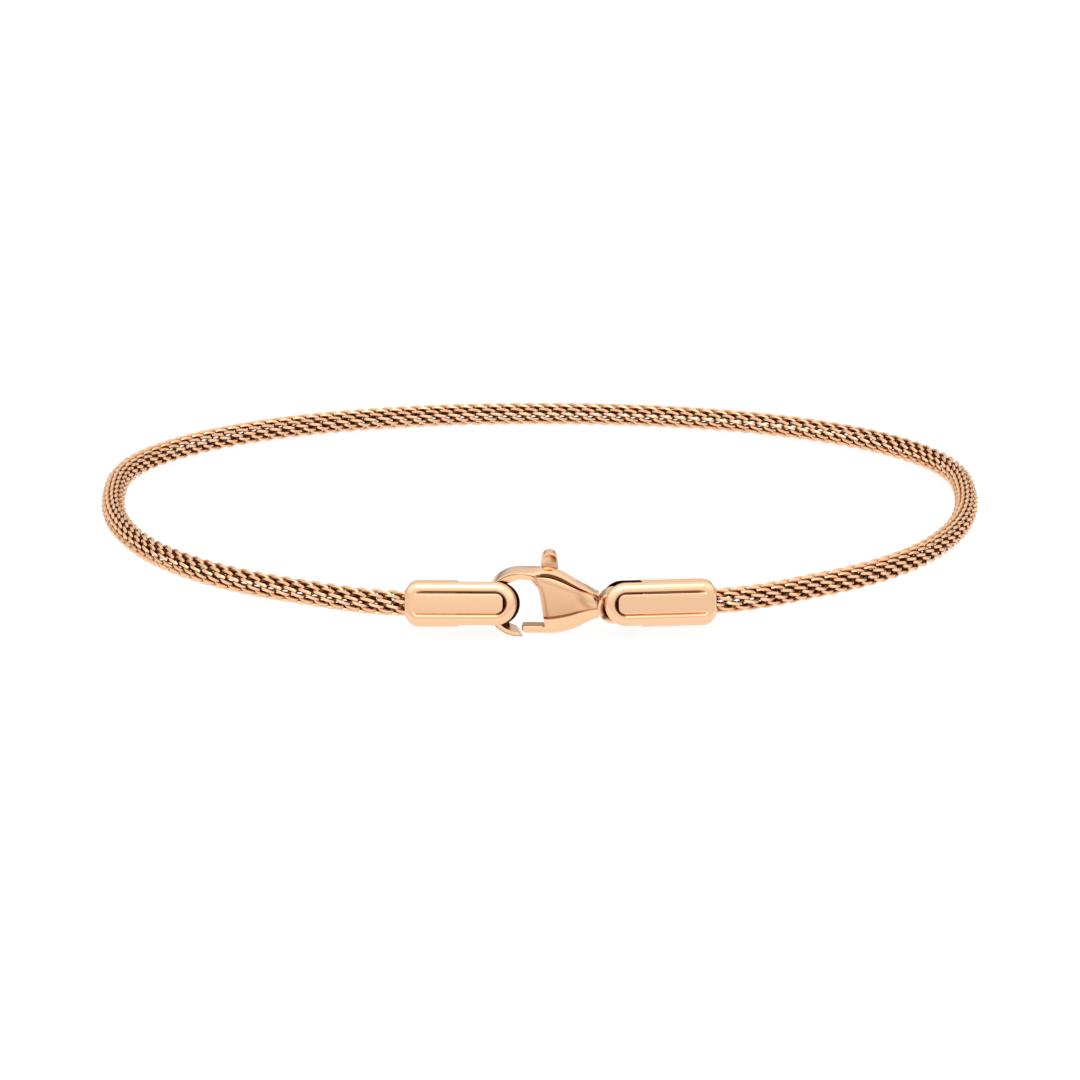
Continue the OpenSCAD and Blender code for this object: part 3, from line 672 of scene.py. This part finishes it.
def lever_rings():
    """The lever in one bar between two lines: from the gate's bevelled tip along the gate, up
    past the pivot and the riser to the nub's round top, whose front has a thumb hollow: a
    trough whose depth is a parabola of the distance from the nub's edge. Painted shade darkens
    the hollow, most on its right side, and the gate's inner side, the riser just below the nub
    and the gate's tip."""
    low, high = -0.99 * hook_r, -0.99 * hook_r + gate_h
    outer = [[0.26, low + 0.12], [0.38, low], [0.6, low], [1.2, low], [1.85, low],
             [2.13, low + 0.06], [2.43, -1.35], [2.78, -0.4], [2.85, 0], [2.74, 0.6],
             [2.52, 1.5], [2.52, 2.2], [2.52, 2.9]]
    inner = [[0.16, high - 0.2], [0.20, high - 0.03], [0.45, high], [1.0, high], [1.45, high],
             [1.64, high + 0.05], [1.74, -0.9], [1.80, -0.15], [1.78, 0.1], [1.66, 0.6],
             [1.42, 1.5], [1.42, 2.2], [1.42, 2.9]]
    a = np.radians(np.linspace(0, 84, 26))[1:]
    r = nub_w / 2
    middle = nub_top - 0.02 - r
    outer = np.concatenate([smooth_curve(outer, 170),
                            np.stack([nub_x + r * np.cos(a), middle + r * np.sin(a)], -1)])
    inner = np.concatenate([smooth_curve(inner, 170),
                            np.stack([nub_x - r * np.cos(a), middle + r * np.sin(a)], -1)])
    front, back = lever_back - lever_t / 2, lever_back + lever_t / 2
    rings = round_ends(band(outer, inner, front, back, 0.09, face_steps=24), 0.05, last=False)
    rings = round_ends(rings, 0.012, first=False)
    x, y, z = rings[..., 0], rings[..., 1], rings[..., 2]
    across, above = x - nub_x, z - middle
    away = r - np.hypot(across, np.maximum(above, 0))
    dip = np.clip((away - hollow_edge) / (r - hollow_edge), 0, 1)
    fade = (y < front + 0.05) * smooth_step(np.clip((z - 2.4) / 0.7, 0, 1))
    inside = fade * np.clip(dip / 0.12, 0, 1)
    # Painted shade in the thumb hollow, darkest on its right side
    shade = np.clip(0.1 + 1.3 * across / r + 0.2 * above / r, 0, 1)
    column = np.arange(rings.shape[1])
    under = (column > 49) & (column < 68)
    gate = np.clip((1.7 - x) / 0.1, 0, 1) * np.clip((-1.4 - z) / 0.1, 0, 1)
    base = np.clip((2.85 - z) / 0.25, 0, 1) * np.clip((z - 1.5) / 0.1, 0, 1)
    # Painted shade on the gate's inner side, the riser just below the nub and the gate's tip
    painted_shade = np.maximum(inside * (0.1 + 0.75 * shade), 0.45 * gate * under)
    painted_shade = np.maximum(painted_shade, 0.3 * base)
    painted_shade[:6] = 0.55
    y = y + hollow_depth * fade * (1 - (1 - dip) ** 2)
    return np.stack([x, y, z], -1), False, painted_shade


def place_clasp(p):
    """Points of the clasp moved from the hook's middle to its place on the loop."""
    return p + [hook_x, run_y + shift_y, hook_z]


def add_piece(name, parts, body, nodes, metal):
    """One object from several closed rows of rings, which rides on a body and stands for nodes.
    A part is its rings, whether they close on themselves, and how much painted shade each point
    gets, from 0 to 1."""
    points, faces, painted_shade, first = [], [], [], 0
    for rings, ring, depth in parts:
        points.append(rings.reshape(-1, 3))
        faces.append(rod_faces(*rings.shape[:2], ring) + first)
        painted_shade.append(np.broadcast_to(depth, rings.shape[:2]).reshape(-1))
        first += rings.shape[0] * rings.shape[1]
    piece = build_mesh(name, np.concatenate(points), np.concatenate(faces), "painted_shade",
                       np.concatenate(painted_shade))
    piece.data.materials.append(metal)
    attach(piece, body)
    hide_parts(*nodes)
    return piece


def add_node(tree, kind, **values):
    """A shader node with its settings, and its inputs given by name as in_name."""
    node = tree.nodes.new(kind)
    for key, value in values.items():
        if key.startswith("in_"):
            node.inputs[key[3:].replace("_", " ")].default_value = value
        else:
            setattr(node, key, value)
    return node


def tone_ramp(tree, stops):
    """A colour ramp with a colour at each stop, from the first to the last."""
    node = add_node(tree, "ShaderNodeValToRGB")
    for place, _ in stops[1:-1]:
        node.color_ramp.elements.new(place)
    for stop, (place, colour) in zip(node.color_ramp.elements, stops):
        stop.position, stop.color = place, (*colour, 1)
    return node


def new_metal(name, colour, roughness):
    """An empty metal material and its shader."""
    material = bpy.data.materials.new(name)
    material.use_nodes = True
    tree = material.node_tree
    shader = tree.nodes["Principled BSDF"]
    shader.inputs["Base Color"].default_value = (*colour, 1)
    shader.inputs["Metallic"].default_value = 1
    shader.inputs["Roughness"].default_value = roughness
    return material, tree, shader


rose_gold = (0.94, 0.59, 0.36)
# Colours of painted shade, from brown to near black
painted_shade_browns = ((0.5, (0.42, 0.18, 0.085)), (0.85, (0.13, 0.04, 0.015)),
                  (1, (0.025, 0.007, 0.003)))


def polished_rose_gold(name, roughness):
    """Polished metal with faint cloudy changes in its gloss, and painted shade, brown to near
    black, in its creases, hollows and other shaded places.
    """
    material, tree, shader = new_metal(name, rose_gold, roughness)
    coords = add_node(tree, "ShaderNodeTexCoord")
    cloud = add_node(tree, "ShaderNodeTexNoise", in_Scale=900, in_Detail=3)
    spread = add_node(tree, "ShaderNodeMapRange", in_To_Min=roughness * 0.8,
                      in_To_Max=roughness * 1.3)
    tree.links.new(coords.outputs["Object"], cloud.inputs["Vector"])
    tree.links.new(cloud.outputs["Fac"], spread.inputs["Value"])
    tree.links.new(spread.outputs["Result"], shader.inputs["Roughness"])
    # The painted shade attribute picks a colour from the metal's own to a painted shade of near
    # black
    painted_shade = add_node(tree, "ShaderNodeAttribute", attribute_name="painted_shade")
    tone = tone_ramp(tree, ((0, rose_gold), *painted_shade_browns))
    tree.links.new(painted_shade.outputs["Fac"], tone.inputs["Fac"])
    tree.links.new(tone.outputs["Color"], shader.inputs["Base Color"])
    return material


def woven_rose_gold(name):
    """Drawn wire with painted shade: its own colour on the outside of the weave, painted dark
    brown deeper in.
    """
    material, tree, shader = new_metal(name, rose_gold, 0.22)
    depth = add_node(tree, "ShaderNodeAttribute", attribute_name="depth_in_weave")
    # Painted shade: the base colour darkens to brown the deeper a point lies in the weave
    tone = tone_ramp(tree, ((0.18, (0.93, 0.57, 0.34)), (0.62, (0.16, 0.045, 0.010))))
    tree.links.new(depth.outputs["Fac"], tone.inputs["Fac"])
    tree.links.new(tone.outputs["Color"], shader.inputs["Base Color"])
    return material


caps_metal = polished_rose_gold("polished_caps", 0.12)
clasp_metal = polished_rose_gold("polished_clasp", 0.14)
posts_metal = polished_rose_gold("posts", 0.2)
weave_metal = woven_rose_gold("woven_mesh")

for node in ("left_cap_post", "right_cap_post", "lever_pin"):
    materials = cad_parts[node].data.materials
    materials.clear()
    materials.append(posts_metal)

flip = np.array([1, -1, 1])
for side, place, long in (("left", place_left_cap, cup_len),
                          ("right", place_right_cap, right_cup_len)):
    rim, plate = rim_rings(), plate_rings()
    # Each part with its painted shade; the slit's floor is painted fully dark
    cheek = [(rim, True, rim_painted_shade(rim)), (plate, False, plate_painted_shade(plate)),
             (slit_rings(), False, 1)]
    for name, parts in (("front_cheek", cheek),
                        ("rear_cheek", [(part[0] * flip, *part[1:]) for part in cheek]),
                        ("cup", [(cup_rings(long), False, cup_painted_shade)])):
        add_piece(f"{side}_{name}", [(place(part[0]), *part[1:]) for part in parts], "bracelet",
                  [f"{side}_end_cap"], caps_metal)

for name, rings, ring, depth in (
        ("hook", *hook_rings()),
        ("body_front", *body_rings(left_edge, "front", slot_front, True)),
        ("body_rear", *body_rings(left_edge, slot_rear, "back", True)),
        ("body_middle", *body_rings(slot_wall, slot_front, "back", False)),
        ("ridge_front", ridge_rings(1.22, 3.97, slot_front), False, 0),
        ("ridge_end", ridge_rings(3.95, waist_x), False, 0),
        ("tail_ring", *tail_rings()),
        ("tail_root", root_rings(), False, 0)):
    add_piece(name, [(place_clasp(rings), ring, depth)], "bracelet", ["clasp_body"],
              clasp_metal)
lever, ring, depth = lever_rings()
add_piece("lever_bar", [(place_clasp(lever), ring, depth)], "lever", ["lever"],
          clasp_metal)

for name, shares in (("woven_tube_right", (0, 0.5)), ("woven_tube_left", (0.5, 1))):
    wire = woven_wire(name, *shares)
    wire.data.materials.append(weave_metal)
    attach(wire, "bracelet")
    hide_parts("mesh_tube")

# Floor
floor_half = 3000
floor = build_mesh("floor", [[-floor_half, -floor_half, 0], [floor_half, -floor_half, 0],
                             [floor_half, floor_half, 0], [-floor_half, floor_half, 0]],
                   [[0, 1, 2, 3]])
paper = bpy.data.materials.new("white_paper")
paper.use_nodes = True
for socket, value in (("Base Color", (0.1, 0.1, 0.1, 1)), ("Roughness", 0.9),
                      ("Emission Color", (1, 1, 1, 1)), ("Emission Strength", 0.91)):
    paper.node_tree.nodes["Principled BSDF"].inputs[socket].default_value = value
floor.data.materials.append(paper)


def soft_light(name, place, target, size, watts):
    """A square soft box at a place, in metres, facing a target."""
    light = bpy.data.lights.new(name, "AREA")
    light.shape, light.size, light.energy = "SQUARE", size, watts
    lamp = bpy.data.objects.new(name, light)
    bpy.context.scene.collection.objects.link(lamp)
    lamp.location = place
    aim = Vector(np.subtract(target, place))
    lamp.rotation_euler = aim.to_track_quat("-Z", "Y").to_euler()


soft_light("front_box", (-0.05, -0.28, 0.50), (0, 0, 0), 0.30, 0.45)

# Studio surroundings: bright overhead and in front, dim low down behind the object
sky_strength = 1.5
sky_shares = (0.5, 0.55, 0.64, 0.71, 0.78, 0.92, 1)
front_tones = (0.9, 0.92, 0.95, 1.1, 1.35, 1.5, 1.2)
back_tones = (0.25, 0.35, 0.8, 0.88, 0.95, 1.05, 1.2)
world = bpy.data.worlds.new("studio")
bpy.context.scene.world = world
world.use_nodes = True
sky = world.node_tree
sky_place = add_node(sky, "ShaderNodeTexCoord")
sky_split = add_node(sky, "ShaderNodeSeparateXYZ")
sky_height = add_node(sky, "ShaderNodeMapRange", in_From_Min=-1)
sky_behind = add_node(sky, "ShaderNodeMapRange", in_From_Min=-0.2, in_From_Max=0.4)
sky_mix = add_node(sky, "ShaderNodeMix", data_type="RGBA")
sky.links.new(sky_place.outputs["Generated"], sky_split.inputs[0])
sky.links.new(sky_split.outputs["Z"], sky_height.inputs["Value"])
sky.links.new(sky_split.outputs["Y"], sky_behind.inputs["Value"])
sky.links.new(sky_behind.outputs["Result"], sky_mix.inputs[0])
sky.links.new(sky_mix.outputs[2], sky.nodes["Background"].inputs["Color"])
for socket, tones in ((6, front_tones), (7, back_tones)):
    sky_tone = tone_ramp(sky, [(share, [tone / sky_strength] * 3)
                               for share, tone in zip(sky_shares, tones)])
    sky.links.new(sky_height.outputs["Result"], sky_tone.inputs["Fac"])
    sky.links.new(sky_tone.outputs["Color"], sky_mix.inputs[socket])
sky.nodes["Background"].inputs["Strength"].default_value = sky_strength

# Camera at the photograph's place, 120 mm lens on a 36 mm square frame
camera_down = np.radians(19.35)
camera_data = bpy.data.cameras.new("camera")
camera_data.lens, camera_data.sensor_width = 120, 36
camera_data.clip_start, camera_data.clip_end = 0.01, 20
camera = bpy.data.objects.new("camera", camera_data)
bpy.context.scene.collection.objects.link(camera)
camera.location = (0.008 * MM, -246.96 * MM, 85.36 * MM)
camera.rotation_euler = (np.pi / 2 - camera_down, 0, 0)
bpy.context.scene.camera = camera
bpy.context.scene.view_settings.view_transform = "Standard"
